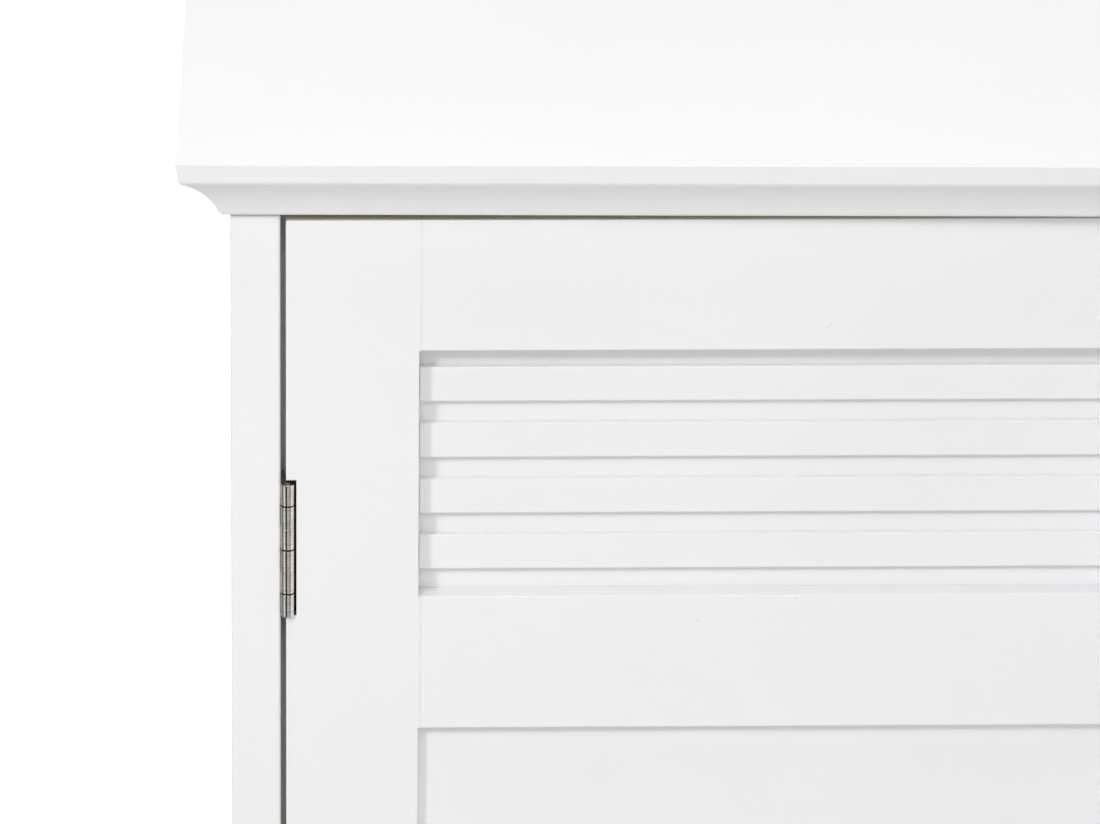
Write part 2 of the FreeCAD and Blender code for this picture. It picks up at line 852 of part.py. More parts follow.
def door_stile(side):
    """side -1 is the hinge stile, side 1 the free one."""
    across = (0, stile_width) if side < 0 else (door_width - stile_width, door_width)
    stile = door_block(across, (0, board), (door_foot, door_top))
    outer = door_left + (0 if side < 0 else door_width)
    joint = door_left + (stile_width if side < 0 else door_width - stile_width)
    stile = ease(stile, door_corner_round, lambda p, e: near(p.x, outer) and near(p.y, board / 2))
    stile = ease(stile, door_edge_ease, lambda p, e: near(p.y, 0) and not near(p.x, joint))
    inner = opening_edge if side < 0 else door_width - opening_edge
    deep = panel_tongue + groove_extra
    groove = sorted((inner - side * opening_trim, inner + side * deep))
    cutters = [
        trimmed_edge(side, inner, (louvre_foot, louvre_top)),
        trimmed_edge(side, inner, (panel_foot, panel_top)),
        door_block(groove, backing_groove(), (louvre_foot - deep, louvre_top + deep)),
        door_block(groove, panel_groove(), (panel_foot - deep, panel_top + deep)),
    ]
    into_rail = right if side < 0 else left
    cutters += [dowel_hole(point, into_rail) for point in rail_dowel_points(side)]
    if side < 0:
        for middle in hinge_middles.values():
            notch_z = (middle - hinge_length / 2 - notch_below, middle + hinge_length / 2 + notch_above)
            cutters.append(door_block((-1, notch_depth), (-1, board + 1), notch_z))
            for point in door_leaf_screw_points(middle):
                cutters += screw_hole(point, right, hinge_screw_length, hinge_screw_radius,
                                      hinge_screw_head_radius, True)
    else:
        cutters.append(rod(knob_screw_radius + screw_hole_clearance, board, knob_centre(), backward))
        cutters += screw_hole(strike_screw_point(), forward, catch_screw_length, catch_screw_radius, 0, False)
    return take_away(stile, cutters)


def door_rail(foot, height, outer_edge, grooves):
    """A rail between the stiles; grooves lists (edge height, direction, depth range)."""
    across = (stile_width, door_width - stile_width)
    rail = door_block(across, (0, board), (foot, foot + height))
    if outer_edge is not None:
        rail = ease(rail, door_edge_ease, lambda p, e: near(p.y, 0) and near(p.z, outer_edge))
    inner_edges = [foot, foot + height]
    rail = ease(rail, arris_ease, lambda p, e: near(p.y, 0) and e.Length > door_width / 2 and any(
        near(p.z, z) for z in inner_edges if outer_edge is None or not near(z, outer_edge)))
    cutters = []
    for edge, direction, behind in grooves:
        far = edge + direction * (panel_tongue + groove_extra)
        cutters.append(door_block(across, behind, sorted((edge, far))))
    for side, into_rail in ((-1, right), (1, left)):
        for point in rail_dowel_points(side):
            if foot < point.z < foot + height:
                cutters.append(dowel_hole(point, into_rail))
    return take_away(rail, cutters)


def door_top_rail():
    return door_rail(louvre_top, top_rail_height, door_top, [(louvre_top, 1, backing_groove())])


def door_mid_rail():
    grooves = [(louvre_foot, -1, backing_groove()), (panel_top, 1, panel_groove())]
    return door_rail(panel_top, mid_rail_height, None, grooves)


def door_bottom_rail():
    return door_rail(door_foot, bottom_rail_height, door_foot, [(panel_foot, -1, panel_groove())])


def infill(front, thickness, low, high):
    across = (opening_edge - panel_tongue, door_width - opening_edge + panel_tongue)
    return door_block(across, (front, front + thickness), (low - panel_tongue, high + panel_tongue))


def louvre_slat(number):
    """Slats are counted from the top."""
    top = louvre_top - slat_space - number * (slat_height + slat_space)
    across = (opening_edge + slat_end_gap, door_width - opening_edge - slat_end_gap)
    slat = door_block(across, (slat_face_depth, backing_depth), (top - slat_height, top))
    return ease(slat, arris_ease, lambda p, e: near(p.y, slat_face_depth) and e.Length > door_width / 2)


# ---- butt hinges ----
def knuckle_spans(middle):
    """Lower and upper height of each knuckle, from the top down; even ones are the frame's."""
    pitch = hinge_length / knuckle_count
    spans = []
    for i in range(knuckle_count):
        top = middle + hinge_length / 2 - i * pitch
        gap = knuckle_open_gap if i % 2 == 0 else knuckle_rest_gap
        last = i == knuckle_count - 1
        spans.append((top - pitch + (0 if last else gap), top))
    return spans


def hinge_leaf(middle, side):
    """side -1 is the leaf on the frame, side 1 the leaf in the door's notch."""
    whole_height = (middle - hinge_length / 2, middle + hinge_length / 2)
    if side < 0:
        flat_x = (-inner_x, -inner_x + leaf_thickness)
        web_x = flat_x
        web_y = (axis_y, axis_y + leaf_start)
        points = frame_leaf_screw_points(middle)
        own = knuckle_spans(middle)[0::2]
        pieces = [block(flat_x, (axis_y + leaf_start, axis_y + leaf_reach), whole_height)]
    else:
        notch_face = door_left + notch_depth
        near_x = axis_x - crank_side
        crank_front = axis_y + crank_back - leaf_thickness
        flat_x = (notch_face - leaf_thickness, notch_face)
        web_x = (near_x, near_x + leaf_thickness)
        web_y = (axis_y + crank_start, axis_y + crank_back)
        points = door_leaf_screw_points(middle)
        own = knuckle_spans(middle)[1::2]
        pieces = [block(flat_x, (crank_front, axis_y + leaf_reach), whole_height),
                  block((near_x, notch_face), (crank_front, axis_y + crank_back), whole_height)]
    for low, high in own:
        pieces.append(rod(knuckle_radius, high - low, Vector(axis_x, axis_y, low), up))
        pieces.append(block(web_x, web_y, (low, high)))
    bore = rod(hinge_pin_radius + hinge_pin_clearance, hinge_length,
               Vector(axis_x, axis_y, middle - hinge_length / 2), up)
    cutters = [bore]
    into = left if side < 0 else right
    for point in points:
        cutters += screw_hole(point, into, hinge_screw_length, hinge_screw_radius,
                              hinge_screw_head_radius, True)
    return take_away(join(pieces), cutters)


def hinge_pin(middle):
    return rod(hinge_pin_radius, hinge_length, Vector(axis_x, axis_y, middle - hinge_length / 2), up)


def hinge_screws(points_of, direction):
    screws = []
    for middle in hinge_middles.values():
        for point in points_of(middle):
            screws.append(screw(point, direction, hinge_screw_length, hinge_screw_radius,
                                hinge_screw_head_radius, 0, True))
    return group(screws)


# ---- knob and strike plate ----
def knob_centre():
    return Vector(door_left + door_width - stile_width / 2, 0, door_top - knob_from_door_top)


def door_knob():
    """Turned about the axis square to the door face."""
    out = knob_projection

    def place(radius, height):
        return Vector(radius, 0, height)

    bore = knob_screw_radius + screw_hole_clearance
    bore_depth = knob_screw_in_knob + screw_end_space
    bore_mouth = place(bore, 0)
    bore_corner = place(bore, bore_depth)
    bore_end = place(0, bore_depth)
    base_foot = place(knob_base_radius, 0)
    base_rim = place(knob_base_radius, knob_base - knob_base_bevel)
    base_top = place(knob_base_radius - knob_base_bevel, knob_base)
    shoulder = place(knob_shoulder_radius, knob_shoulder)
    crest = place(knob_head_radius, knob_crest)
    tip = place(0, out)
    dome_height = out - knob_crest
    dome_radius = (dome_height ** 2 + knob_head_radius ** 2) / (2 * dome_height)
    half_way = math.asin(knob_head_radius / dome_radius) / 2
    dome_mid = place(dome_radius * math.sin(half_way), out - dome_radius * (1 - math.cos(half_way)))
    outline = section([
        line(bore_mouth, base_foot),
        line(base_foot, base_rim),
        line(base_rim, base_top),
        Part.Arc(base_top, place(knob_neck_radius, knob_neck_height), shoulder).toShape(),
        Part.Arc(shoulder, place(knob_under_head_radius, knob_under_head), crest).toShape(),
        Part.Arc(crest, dome_mid, tip).toShape(),
        line(tip, bore_end),
        line(bore_end, bore_corner),
        line(bore_corner, bore_mouth),
    ])
    knob = outline.revolve(Vector(0, 0, 0), up, 360)
    knob.rotate(Vector(0, 0, 0), right, 90)
    knob.translate(knob_centre())
    return knob


def knob_screw():
    start = knob_centre() + backward * board
    return screw(start, forward, board + knob_screw_in_knob, knob_screw_radius,
                 knob_screw_head_radius, knob_screw_head, False)


def strike_middle_across():
    return door_width - strike_edge_inset - strike_width / 2


def strike_screw_point():
    """The screw's countersink mouth, on the strike plate's rear face."""
    return Vector(door_left + strike_middle_across(), board + strike_thickness, catch_middle)


def strike_plate():
    middle = strike_middle_across()
    plate = door_block((middle - strike_width / 2, middle + strike_width / 2),
                       (board, board + strike_thickness),
                       (catch_middle - strike_height / 2, catch_middle + strike_height / 2))
    return take_away(plate, screw_hole(strike_screw_point(), forward, catch_screw_length,
                                       catch_screw_radius, catch_screw_radius + strike_thickness, True))


def strike_screw():
    return screw(strike_screw_point(), forward, catch_screw_length, catch_screw_radius,
                 catch_screw_radius + strike_thickness, 0, True)


# ---- all pieces by name ----
def carcass_pieces():
    toward_middle = {-1: right, 1: left}
    pieces = {
        "side_panel_left": side_panel(-1),
        "side_panel_right": side_panel(1),
        "top_board": top_board(),
        "bottom_panel": bottom_panel(),
        "front_apron": front_apron(),
        "gap_strip": gap_strip(),
        "back_panel": back_panel(),
        "back_panel_nails": back_panel_nails(),
        "shelf_upper": shelf(shelf_upper_pin_height),
        "shelf_lower": shelf(shelf_lower_pin_height),
        "shelf_pins": shelf_pins(),
        "top_dowels": all_dowels(lambda side: top_joints(side)[1], lambda side: down),
        "bottom_dowels": all_dowels(lambda side: bottom_joints(side)[1], toward_middle.get),
        "apron_dowels": all_dowels(apron_joints, toward_middle.get),
        "top_cam_bolts": all_cam_bolts(top_joints, lambda side: down),
        "top_cam_locks": top_cam_locks(),
        "bottom_cam_bolts": all_cam_bolts(bottom_joints, toward_middle.get),
        "bottom_cam_locks": bottom_cam_locks(),
        "floor_glides": floor_glides(),
        "glide_nails": glide_nails(),
        "wall_bracket": wall_bracket(),
        "wall_bracket_screws": wall_bracket_screws(),
        "catch_body": catch_body(),
        "catch_magnet": catch_magnet(),
        "catch_pole_plates": catch_pole_plates(),
        "catch_screws": catch_screws(),
        "hinge_frame_screws": hinge_screws(frame_leaf_screw_points, left),
    }
    for name, middle in hinge_middles.items():
        pieces["hinge_" + name + "_frame_leaf"] = hinge_leaf(middle, -1)
        pieces["hinge_" + name + "_pin"] = hinge_pin(middle)
    return pieces


def door_pieces():
    dowels = all_dowels(rail_dowel_points, lambda side: right if side < 0 else left)
    pieces = {
        "door_stile_hinge_side": door_stile(-1),
        "door_stile_free_side": door_stile(1),
        "door_top_rail": door_top_rail(),
        "door_mid_rail": door_mid_rail(),
        "door_bottom_rail": door_bottom_rail(),
        "door_dowels": dowels,
        "louvre_backing": infill(backing_depth, backing_thickness, louvre_foot, louvre_top),
        "door_panel": infill(panel_depth, panel_thickness, panel_foot, panel_top),
        "hinge_door_screws": hinge_screws(door_leaf_screw_points, right),
        "door_knob": door_knob(),
        "knob_screw": knob_screw(),
        "strike_plate": strike_plate(),
        "strike_screw": strike_screw(),
    }
    for number in range(slat_count):
        pieces["louvre_slat_" + str(number + 1)] = louvre_slat(number)
    for name, middle in hinge_middles.items():
        pieces["hinge_" + name + "_door_leaf"] = hinge_leaf(middle, 1)
    return {name: close_door(shape) for name, shape in pieces.items()}


def write_steps():
    os.makedirs("parts", exist_ok=True)
    pieces = carcass_pieces()
    pieces.update(door_pieces())
    for name, shape in pieces.items():
        placed = shape.copy()
        placed.translate(Vector(0, -front_to_origin, 0))
        placed.exportStep("parts/" + name + ".step")
        print(name, len(placed.Solids), round(placed.Volume))
    print("pieces", len(pieces), "hinge axis", round(axis_x, 3), round(axis_y - front_to_origin, 3),
          "latch angle", round(latch_angle, 3))


write_steps()
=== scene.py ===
import json
import math

import bpy
from mathutils import Matrix, Vector


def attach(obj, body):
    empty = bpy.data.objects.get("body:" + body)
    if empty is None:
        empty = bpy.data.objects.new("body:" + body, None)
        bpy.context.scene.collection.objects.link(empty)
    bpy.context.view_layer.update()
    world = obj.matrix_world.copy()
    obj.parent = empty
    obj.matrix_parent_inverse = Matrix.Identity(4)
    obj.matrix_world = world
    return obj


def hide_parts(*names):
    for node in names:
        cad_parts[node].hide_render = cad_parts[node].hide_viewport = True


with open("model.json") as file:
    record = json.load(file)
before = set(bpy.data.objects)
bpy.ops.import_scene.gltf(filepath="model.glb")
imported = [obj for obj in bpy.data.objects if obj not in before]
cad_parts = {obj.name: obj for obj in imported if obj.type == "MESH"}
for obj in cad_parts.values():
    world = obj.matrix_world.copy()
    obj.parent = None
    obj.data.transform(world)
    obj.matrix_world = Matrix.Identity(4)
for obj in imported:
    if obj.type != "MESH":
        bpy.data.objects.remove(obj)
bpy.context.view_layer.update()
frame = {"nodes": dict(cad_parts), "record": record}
nodes = frame["nodes"]
bpy.ops.object.select_all(action="DESELECT")
print("cabinet loaded,", len(nodes), "pieces")


noiseSpan = (0.3, 0.7)      # nearly all of a noise lies between these


# small helpers for the node materials
def newMaterial(name):
    material = bpy.data.materials.new(name)
    material.use_nodes = True
    tree = material.node_tree
    shader = tree.nodes["Principled BSDF"]
    return material, tree, shader


def addNode(tree, kind, **settings):
    node = tree.nodes.new(kind)
    for key, value in settings.items():
        setattr(node, key, value)
    return node


def setInputs(node, **values):
    for key, value in values.items():
        node.inputs[key.replace("_", " ")].default_value = value


def objectCoords(tree, stretch=(1, 1, 1)):
    coords = addNode(tree, "ShaderNodeTexCoord")
    mapping = addNode(tree, "ShaderNodeMapping")
    mapping.inputs["Scale"].default_value = stretch
    tree.links.new(coords.outputs["Object"], mapping.inputs["Vector"])
    return mapping.outputs["Vector"]


def noise(tree, vector, scale, detail=3.0, rough=0.5):
    node = addNode(tree, "ShaderNodeTexNoise")
    setInputs(node, Scale=scale, Detail=detail, Roughness=rough)
    tree.links.new(vector, node.inputs["Vector"])
    return node.outputs["Fac"]


def mathNode(tree, operation, first, second=None):
    node = addNode(tree, "ShaderNodeMath", operation=operation)
    for socket, value in zip(node.inputs, (first, second)):
        if value is None:
            continue
        if isinstance(value, (int, float)):
            socket.default_value = value
        else:
            tree.links.new(value, socket)
    return node.outputs[0]


def awayFrom(tree, value, middle):
    return mathNode(tree, "ABSOLUTE", mathNode(tree, "SUBTRACT", value, middle))


def between(tree, value, low, high):
    above = mathNode(tree, "GREATER_THAN", value, low)
    below = mathNode(tree, "LESS_THAN", value, high)
    return mathNode(tree, "MULTIPLY", above, below)


def mapRange(tree, value, low, high, newLow, newHigh):
    node = addNode(tree, "ShaderNodeMapRange")
    limits = {"From Min": low, "From Max": high, "To Min": newLow, "To Max": newHigh}
    for key, number in limits.items():
        node.inputs[key].default_value = number
    tree.links.new(value, node.inputs["Value"])
    return node.outputs["Result"]


def mixColours(tree, factor, first, second):
    node = addNode(tree, "ShaderNodeMix", data_type="RGBA")
    tree.links.new(factor, node.inputs["Factor"])
    for socket, colour in ((node.inputs["A"], first), (node.inputs["B"], second)):
        if isinstance(colour, tuple):
            socket.default_value = colour
        else:
            tree.links.new(colour, socket)
    return node.outputs["Result"]


def bump(tree, height, strength, distance, below=None):
    node = addNode(tree, "ShaderNodeBump")
    setInputs(node, Strength=strength, Distance=distance)
    tree.links.new(height, node.inputs["Height"])
    if below is not None:
        tree.links.new(below, node.inputs["Normal"])
    return node.outputs["Normal"]


# satin white paint, rolled on: a faint orange peel, fine grit, and here and there a speck under the coat
satinPaint = {
    "white": (0.875, 0.875, 0.879, 1),
    "warmerWhite": (0.862, 0.861, 0.858, 1),   # where the coat lies a little thicker
    "cloudSize": 7.0,           # thicker patches per metre
    "cloudEdges": (0.35, 0.65),
    "roughness": 0.42,
    "sheenSize": 60.0,          # duller patches per metre
    "sheenSpread": 0.05,
    "peelSize": 420.0,          # ripples per metre left by the roller
    "peelDepth": 0.00004,
    "peelStrength": 0.35,
    "gritFiner": 4,             # the grit is this much finer than the ripples
    "gritShare": 0.4,           # of the ripples' depth
    "gritStrength": 0.2,
    "nibCells": 21.0,           # cells per metre, a few of which hold a speck
    "nibShare": 0.12,
    "nibRadius": 0.016,
    "nibHeight": 0.00018,
    "nibStrength": 0.8,
    "jointHalfWidth": 0.0007,   # the paint sinks a little over the glued joints of the door frame
    "jointSink": 0.00016,
    "jointShade": (0.5, 0.49, 0.47, 1),
    "jointShading": 0.07,       # how much of that shade a joint takes on
    "markShade": (0.42, 0.41, 0.40, 1),
    "markShading": 0.22,
    "markCore": 0.3,            # share of a mark's radius that is darkest
    "markStrength": 0.6,
}
# the door is painted apart, in a slightly cooler white
doorCoat = dict(satinPaint, white=(0.875, 0.872, 0.884, 1), warmerWhite=(0.862, 0.859, 0.866, 1))
# its outer edges have only a thin cream undercoat; on the top and bottom ends it is also painted darker, as
# painted shade for the shaded gap under the moulding
doorRims = {
    "middle": (0.0, 0.44368),      # of the door, across and up
    "halfWidth": 0.17,
    "halfHeight": 0.345,
    "sideCoat": (0.885, 0.875, 0.81, 1),
    "endCoatAndShade": (0.72, 0.68, 0.56, 1),
    "squareness": 0.6,             # only faces that look outwards this squarely have it
}
# the hinge notches are cut after painting and stay bare fibreboard, painted darker still as painted shade
# for the deep slot beside the knuckles
hingeNotch = {
    "wallX": -0.17626,
    "heights": ((0.64203, 0.69427), (0.19428, 0.24652)),
    "bare": (0.23, 0.18, 0.13, 1),
}
# on the sides, a thin painted shadow line just under the moulding's overhanging foot
shadowUnderMoulding = {
    "height": 0.79535,
    "halfWidth": 0.00035,
    "fade": (0.8, 1.1),            # where its edge fades, as shares of the half width
    "shade": (0.53, 0.525, 0.515, 1),
}
# small marks in the door's coat: place and radius in metres
paintMarks = [
    ((-0.0288, -0.1374, 0.6392), 0.00075),
    ((0.0067, -0.1367, 0.6476), 0.0006),
    ((-0.1070, -0.1388, 0.6497), 0.0005),
    ((-0.1172, -0.1286, 0.7354), 0.0009),
    ((0.0174, -0.1365, 0.7528), 0.0005),
    ((0.0179, -0.1365, 0.7535), 0.0005),
    ((0.0169, -0.1365, 0.7521), 0.0005),
]


def paintMaterial(name, paint, joints=(), marks=(), rims=None, notch=None, shadowLine=None):
    material, tree, shader = newMaterial(name)
    place = objectCoords(tree)
    cloud = noise(tree, place, paint["cloudSize"], 2.0)
    cloud = mapRange(tree, cloud, *paint["cloudEdges"], 0.0, 1.0)
    colour = mixColours(tree, cloud, paint["white"], paint["warmerWhite"])
    peel = noise(tree, place, paint["peelSize"], 2.0, 0.45)
    grit = noise(tree, place, paint["peelSize"] * paint["gritFiner"], 2.0)
    spread = paint["sheenSpread"]
    sheen = mapRange(tree, noise(tree, place, paint["sheenSize"]), *noiseSpan, -spread, spread)
    tree.links.new(mathNode(tree, "ADD", sheen, paint["roughness"]), shader.inputs["Roughness"])
    cells = addNode(tree, "ShaderNodeTexVoronoi", feature="F1")
    setInputs(cells, Scale=paint["nibCells"], Randomness=1.0)
    tree.links.new(place, cells.inputs["Vector"])
    pick = addNode(tree, "ShaderNodeSeparateColor")
    tree.links.new(cells.outputs["Color"], pick.inputs["Color"])
    chosen = mathNode(tree, "LESS_THAN", pick.outputs["Red"], paint["nibShare"])
    speck = mapRange(tree, cells.outputs["Distance"], 0.0, paint["nibRadius"], 1.0, 0.0)
    speck = mathNode(tree, "MULTIPLY", speck, chosen)
    normal = bump(tree, peel, paint["peelStrength"], paint["peelDepth"])
    normal = bump(tree, grit, paint["gritStrength"], paint["peelDepth"] * paint["gritShare"], normal)
    normal = bump(tree, speck, paint["nibStrength"], paint["nibHeight"], normal)
    axes = addNode(tree, "ShaderNodeSeparateXYZ")
    tree.links.new(place, axes.inputs["Vector"])
    for jointX in joints:
        away = awayFrom(tree, axes.outputs["X"], jointX)
        sink = mapRange(tree, away, 0.0, paint["jointHalfWidth"], -1.0, 0.0)
        normal = bump(tree, sink, 1.0, paint["jointSink"], normal)
        shade = mathNode(tree, "MULTIPLY", sink, -paint["jointShading"])
        colour = mixColours(tree, shade, colour, paint["jointShade"])
    for (x, y, z), radius in marks:
        away = addNode(tree, "ShaderNodeVectorMath", operation="DISTANCE")
        tree.links.new(place, away.inputs[0])
        away.inputs[1].default_value = (x, y, z)
        spot = mapRange(tree, away.outputs["Value"], radius * paint["markCore"], radius, 1.0, 0.0)
        normal = bump(tree, spot, paint["markStrength"], paint["nibHeight"], normal)
        shade = mathNode(tree, "MULTIPLY", spot, paint["markShading"])
        colour = mixColours(tree, shade, colour, paint["markShade"])
    # cream coat on the door's outer edges; the ends' coat is darker too, as painted shade
    if rims is not None:
        facing = addNode(tree, "ShaderNodeSeparateXYZ")
        tree.links.new(addNode(tree, "ShaderNodeTexCoord").outputs["Normal"], facing.inputs["Vector"])
        sides = ("X", rims["middle"][0], rims["halfWidth"], rims["sideCoat"])
        ends = ("Z", rims["middle"][1], rims["halfHeight"], rims["endCoatAndShade"])
        for axis, middle, half, coat in (sides, ends):
            outer = mathNode(tree, "GREATER_THAN", awayFrom(tree, axes.outputs[axis], middle), half)
            outward = mathNode(tree, "ABSOLUTE", facing.outputs[axis])
            turned = mathNode(tree, "GREATER_THAN", outward, rims["squareness"])
            colour = mixColours(tree, mathNode(tree, "MULTIPLY", outer, turned), colour, coat)
    # bare fibreboard in the hinge notches, darkened further as painted shade for the deep slot
    if notch is not None:
        beside = mathNode(tree, "LESS_THAN", axes.outputs["X"], notch["wallX"])
        for low, high in notch["heights"]:
            inNotch = mathNode(tree, "MULTIPLY", beside, between(tree, axes.outputs["Z"], low, high))
            colour = mixColours(tree, inNotch, colour, notch["bare"])
    # a thin band darkened as painted shadow just under the moulding
    if shadowLine is not None:
        away = awayFrom(tree, axes.outputs["Z"], shadowLine["height"])
        start, end = (share * shadowLine["halfWidth"] for share in shadowLine["fade"])
        line = mapRange(tree, away, start, end, 1.0, 0.0)
        colour = mixColours(tree, line, colour, shadowLine["shade"])
    tree.links.new(colour, shader.inputs["Base Color"])
    tree.links.new(normal, shader.inputs["Normal"])
    return material


hingePlaces = {
    "axis": (-0.17945, -0.1407),   # of both pins, seen from above
    "middles": (0.66755, 0.2198),
    "halfLength": 0.0254,
}
nickelPlate = {
    "colour": (0.86, 0.815, 0.775, 1),
    "dulled": (0.56, 0.52, 0.48, 1),
    "roughness": 0.11,
    "streaks": (120, 120, 1250),   # marks per metre along each axis: fine rings round the knuckles
    "streakShade": 0.55,           # how much of the dulled colour the marks take on
    "depth": 0.00006,
    "oiled": (0.035, 0.031, 0.027, 1),   # pins and the knuckles' inner ends, darkened as painted shade in the seams between the knuckles
    "oiledRadius": 0.00195,
    "grime": (0.22, 0.21, 0.19, 1),      # painted shade in the crevice between the side's edge and the knuckles
    "besideShadeAcross": (-0.00218, -0.00160),
    "slotShade": (0.036, 0.034, 0.031, 1),   # painted shade, deeper, on the leaf in the dark slot behind them
    "slotShadeAcross": (0.0016, 0.0034),
    "slotShadeBack": (0.0012, 0.0058),
    "clean": 0.0003,               # this much of the hinge's length at each end is left without that painted shade
}
brushedNickel = {
    "colour": (0.74, 0.71, 0.67, 1),
    "dulled": (0.60, 0.57, 0.53, 1),
    "roughness": 0.28,
    "streaks": (1400, 60, 1400),
    "streakShade": 0.25,
    "depth": 0.00003,
}
zincPlate = {
    "colour": (0.60, 0.61, 0.62, 1),
    "dulled": (0.42, 0.43, 0.45, 1),
    "roughness": 0.34,
    "streaks": (300, 300, 300),
    "streakShade": 0.2,
    "depth": 0.00004,
}
# the wear that all three share
platingWear = {
    "cloudSize": 160.0,            # patches per metre
    "cloudEdges": (0.42, 0.70),
    "cloudShade": 0.4,
    "streakEdges": (0.38, 0.66),
    "roughSpread": (-0.05, 0.1),
    "streakStrength": 0.4,
}


# where a hinge gets painted shade: round the pins, beside the knuckles and on the leaf behind them
def hingeShadeMasks(tree, metal):
    axes = addNode(tree, "ShaderNodeSeparateXYZ")
    tree.links.new(objectCoords(tree), axes.inputs["Vector"])
    alongX = mathNode(tree, "SUBTRACT", axes.outputs["X"], hingePlaces["axis"][0])
    alongY = mathNode(tree, "SUBTRACT", axes.outputs["Y"], hingePlaces["axis"][1])
    squareX = mathNode(tree, "MULTIPLY", alongX, alongX)
    squareY = mathNode(tree, "MULTIPLY", alongY, alongY)
    core = mathNode(tree, "LESS_THAN", mathNode(tree, "ADD", squareX, squareY), metal["oiledRadius"] ** 2)
    inKnuckles = 0.0
    for middle in hingePlaces["middles"]:
        away = awayFrom(tree, axes.outputs["Z"], middle)
        near = mathNode(tree, "LESS_THAN", away, hingePlaces["halfLength"] - metal["clean"])
        inKnuckles = mathNode(tree, "ADD", inKnuckles, near)
    oil = mathNode(tree, "MULTIPLY", core, inKnuckles)
    beside = between(tree, alongX, *metal["besideShadeAcross"])
    across = between(tree, alongX, *metal["slotShadeAcross"])
    behind = mathNode(tree, "MULTIPLY", across, between(tree, alongY, *metal["slotShadeBack"]))
    return oil, beside, behind


def metalMaterial(name, metal):
    material, tree, shader = newMaterial(name)
    shader.inputs["Metallic"].default_value = 1.0
    lines = noise(tree, objectCoords(tree, metal["streaks"]), 1.0, 4.0, 0.6)
    cloud = noise(tree, objectCoords(tree), platingWear["cloudSize"], 4.0, 0.6)
    patches = mapRange(tree, cloud, *platingWear["cloudEdges"], 0.0, platingWear["cloudShade"])
    streaks = mapRange(tree, lines, *platingWear["streakEdges"], 0.0, metal["streakShade"])
    worn = mathNode(tree, "ADD", patches, streaks)
    colour = mixColours(tree, worn, metal["colour"], metal["dulled"])
    if "oiled" in metal:
        oil, beside, behind = hingeShadeMasks(tree, metal)
        # painted shade in the crevice beside the knuckles
        colour = mixColours(tree, beside, colour, metal["grime"])
        # painted shade on the leaf in the slot behind the knuckles
        colour = mixColours(tree, behind, colour, metal["slotShade"])
        # painted shade in the seams round the pins
        colour = mixColours(tree, oil, colour, metal["oiled"])
    tree.links.new(colour, shader.inputs["Base Color"])
    spread = mapRange(tree, lines, *noiseSpan, *platingWear["roughSpread"])
    tree.links.new(mathNode(tree, "ADD", spread, metal["roughness"]), shader.inputs["Roughness"])
    normal = bump(tree, lines, platingWear["streakStrength"], metal["depth"])
    tree.links.new(normal, shader.inputs["Normal"])
    return material


whitePlastic = {
    "colour": (0.80, 0.80, 0.78, 1),
    "roughness": 0.45,
}
ferrite = {
    "colour": (0.045, 0.045, 0.05, 1),
    "roughness": 0.7,
}
# the skin that both share
mouldedSkin = {
    "cloudSize": 90.0,             # darker patches per metre
    "darker": 0.93,
    "sheenSpread": 0.05,
    "grainSize": 2500.0,
    "grainStrength": 0.3,
    "grainDepth": 0.00003,
}
hardboard = {
    "facing": (0.84, 0.835, 0.82, 1),
    "fibre": (0.76, 0.75, 0.725, 1),
    "fibres": (700, 700, 140),     # per metre along each axis
    "fleckEdges": (0.35, 0.75),
    "roughness": 0.62,
    "strength": 0.4,
    "depth": 0.00005,
}
birch = {
    "pale": (0.60, 0.43, 0.26, 1),
    "dark": (0.42, 0.28, 0.15, 1),
    "grain": (90, 900, 900),       # lines per metre along each axis
    "roughness": 0.6,
    "strength": 0.5,
    "depth": 0.0001,
}


def plasticMaterial(name, plastic):
    material, tree, shader = newMaterial(name)
    place = objectCoords(tree)
    cloud = noise(tree, place, mouldedSkin["cloudSize"])
    darker = tuple(c * mouldedSkin["darker"] for c in plastic["colour"][:3]) + (1,)
    tree.links.new(mixColours(tree, cloud, plastic["colour"], darker), shader.inputs["Base Color"])
    spread = mouldedSkin["sheenSpread"]
    sheen = mapRange(tree, cloud, *noiseSpan, -spread, spread)
    tree.links.new(mathNode(tree, "ADD", sheen, plastic["roughness"]), shader.inputs["Roughness"])
    grain = noise(tree, place, mouldedSkin["grainSize"], 2.0)
    normal = bump(tree, grain, mouldedSkin["grainStrength"], mouldedSkin["grainDepth"])
    tree.links.new(normal, shader.inputs["Normal"])
    return material


def hardboardMaterial(name):
    material, tree, shader = newMaterial(name)
    fibres = noise(tree, objectCoords(tree, hardboard["fibres"]), 1.0, 5.0, 0.65)
    fleck = mapRange(tree, fibres, *hardboard["fleckEdges"], 0.0, 1.0)
    colour = mixColours(tree, fleck, hardboard["facing"], hardboard["fibre"])
    tree.links.new(colour, shader.inputs["Base Color"])
    shader.inputs["Roughness"].default_value = hardboard["roughness"]
    tree.links.new(bump(tree, fibres, hardboard["strength"], hardboard["depth"]), shader.inputs["Normal"])
    return material


def birchMaterial(name):
    material, tree, shader = newMaterial(name)
    grain = noise(tree, objectCoords(tree, birch["grain"]), 1.0, 5.0, 0.6)
    tree.links.new(mixColours(tree, grain, birch["pale"], birch["dark"]), shader.inputs["Base Color"])
    shader.inputs["Roughness"].default_value = birch["roughness"]
    tree.links.new(bump(tree, grain, birch["strength"], birch["depth"]), shader.inputs["Normal"])
    return material


